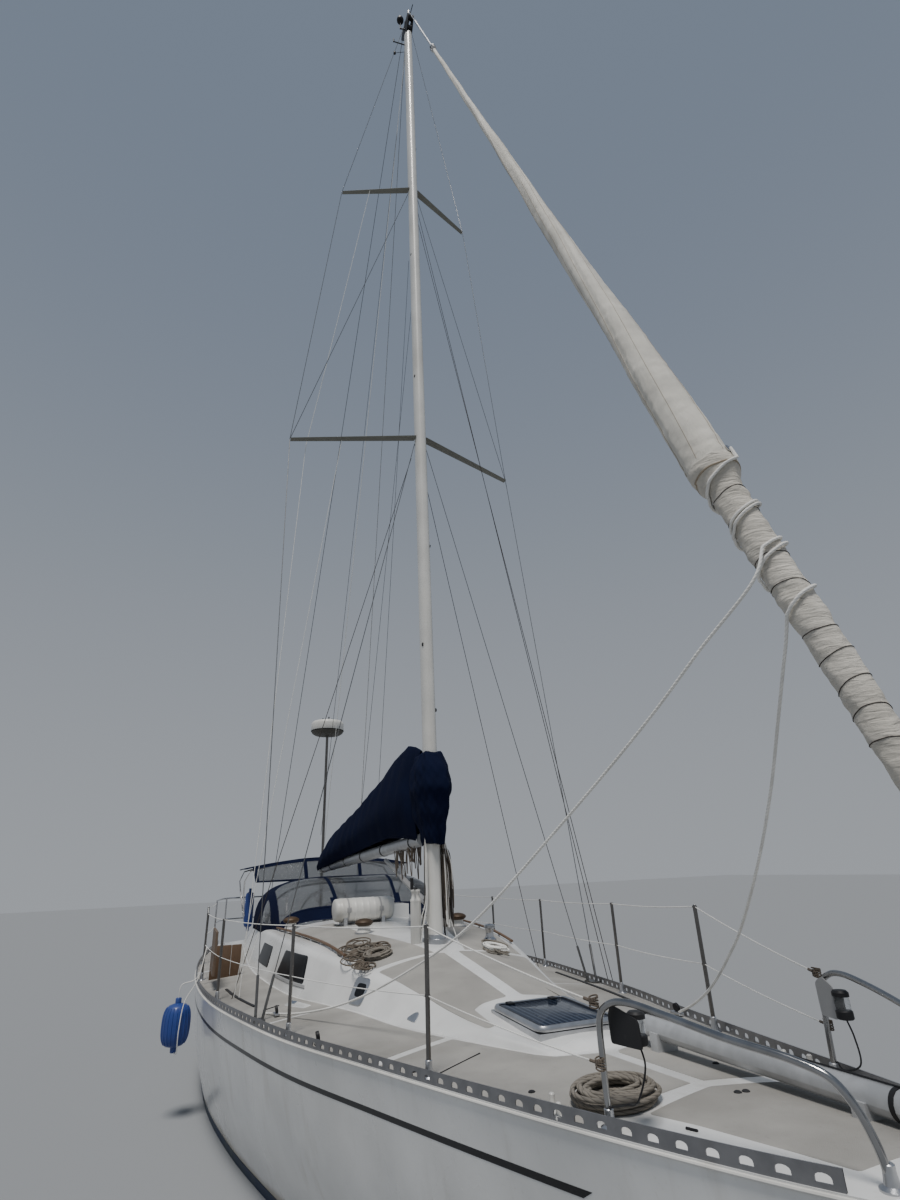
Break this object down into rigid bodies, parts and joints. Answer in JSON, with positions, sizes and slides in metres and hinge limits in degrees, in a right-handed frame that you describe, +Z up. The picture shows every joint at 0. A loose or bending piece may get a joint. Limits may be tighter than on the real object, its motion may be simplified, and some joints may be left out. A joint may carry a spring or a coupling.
{
  "type": "sailing yacht",
  "caption": "Decked cruising sailing yacht afloat, genoa furled, mainsail under its cover on the boom; boom, wheel, rudder, propeller and hatches move.",
  "frame": {"origin": "on the waterline, on the centreline, straight under the foot of the mast", "axes": "+X to the bow, +Y to port, +Z up"},
  "size_m": [11.476, 4.052, 18.97],
  "materials": {
    "gelcoat": "glossy white moulded plastic, dulled by weather and streaked near the water",
    "nonskid": "grey-beige non-slip deck paint between smooth white bands",
    "antifouling": "flat dark blue-black bottom paint",
    "spar_white": "cream-white enamel, a little chalky",
    "alloy": "satin grey anodised",
    "steel": "polished stainless steel",
    "bronze": "dull bronze",
    "navy_cloth": "navy acrylic canvas",
    "sailcloth": "off-white sailcloth with grey streaks",
    "black_plastic": "black moulded plastic",
    "white_plastic": "smooth white moulded plastic",
    "blue_vinyl": "soft blue vinyl",
    "smoked_glass": "dark smoked acrylic",
    "teak": "oiled brown hardwood",
    "rope": "grey-brown braided rope",
    "white_rope": "white braided rope with a fleck"
  },
  "bodies": {
    "hull": {"hull": "gelcoat", "deck": "nonskid", "coachroof": "gelcoat", "washboard": "teak", "hatch_garage": "gelcoat", "hatch_frame": "alloy", "toe_rail_port": "alloy", "toe_rail_starboard": "alloy", "bow_fitting": "steel", "guard_rail_port": "steel", "guard_rail_starboard": "steel", "pulpit_port": "steel", "pulpit_starboard": "steel", "pushpit": "steel", "mast": "spar_white", "mast_collar": "alloy", "masthead_gear": "black_plastic", "spreader_lower_port": "alloy", "spreader_lower_starboard": "alloy", "spreader_upper_port": "alloy", "spreader_upper_starboard": "alloy", "shrouds_port": "steel", "shrouds_starboard": "steel", "backstay_port": "steel", "backstay_starboard": "steel", "furled_genoa": "sailcloth", "forestay": "alloy", "furler_drum": "black_plastic", "mast_brackets": "alloy", "mast_wrap": "navy_cloth", "sprayhood": "navy_cloth", "bimini": "navy_cloth", "bimini_frame": "steel", "radar_pole": "steel", "radome": "white_plastic", "primary_winch_port": "alloy", "primary_winch_starboard": "alloy", "mast_winch_post": "spar_white", "liferaft_canister": "white_plastic", "canister_cradle": "steel", "spinnaker_pole": "alloy", "fender_hanging": "blue_vinyl", "fender_stowed": "navy_cloth", "rail_board": "teak", "wheel_pedestal": "white_plastic", "pedestal_guard": "steel", "keel": "antifouling", "shaft_bracket": "bronze", "port_sheet": "white_rope", "foredeck_coil": "rope", "roof_coil_starboard": "rope", "roof_coil_port": "white_rope"},
    "boom": {"boom": "spar_white", "sail_cover": "navy_cloth", "kicker": "alloy"},
    "rudder": {"rudder": "antifouling"},
    "steering_wheel": {"steering_wheel": "steel"},
    "propeller": {"propeller": "bronze"},
    "hatch_lid": {"hatch_lid": "smoked_glass"},
    "sliding_hatch": {"sliding_hatch": "white_plastic"}
  },
  "joints": [
    {"name": "boom_swing", "type": "hinge", "parent": "hull", "child": "boom", "pos_m": [-0.225, 0, 2.49], "axis": [0, 0, 1], "range_deg": [-78.6, 71.4]},
    {"name": "wheel_turn", "type": "hinge", "parent": "hull", "child": "steering_wheel", "pos_m": [-4.95, 0, 1.56], "axis": [0.9903, 0, -0.1392], "range_deg": [-270, 270]},
    {"name": "rudder_turn", "type": "hinge", "parent": "hull", "child": "rudder", "pos_m": [-5.62, 0, -0.2], "axis": [0, 0, 1], "range_deg": [-35.1, 35.1]},
    {"name": "propeller_spin", "type": "hinge", "parent": "hull", "child": "propeller", "pos_m": [-4.35, 0, -0.72], "axis": [0.9816, 0, 0.1908], "continuous": true},
    {"name": "hatch_lid_tilt", "type": "hinge", "parent": "hull", "child": "hatch_lid", "pos_m": [2.3255, 0, 1.394], "axis": [0, 1, 0], "range_deg": [0, 88]},
    {"name": "hatch_slide", "type": "slide", "parent": "hull", "child": "sliding_hatch", "axis": [1, 0, 0], "range_m": [0, 0.59]}
  ],
  "couplings": [
    {"joint": "rudder_turn", "follows": "wheel_turn", "ratio": 0.12963}
  ]
}
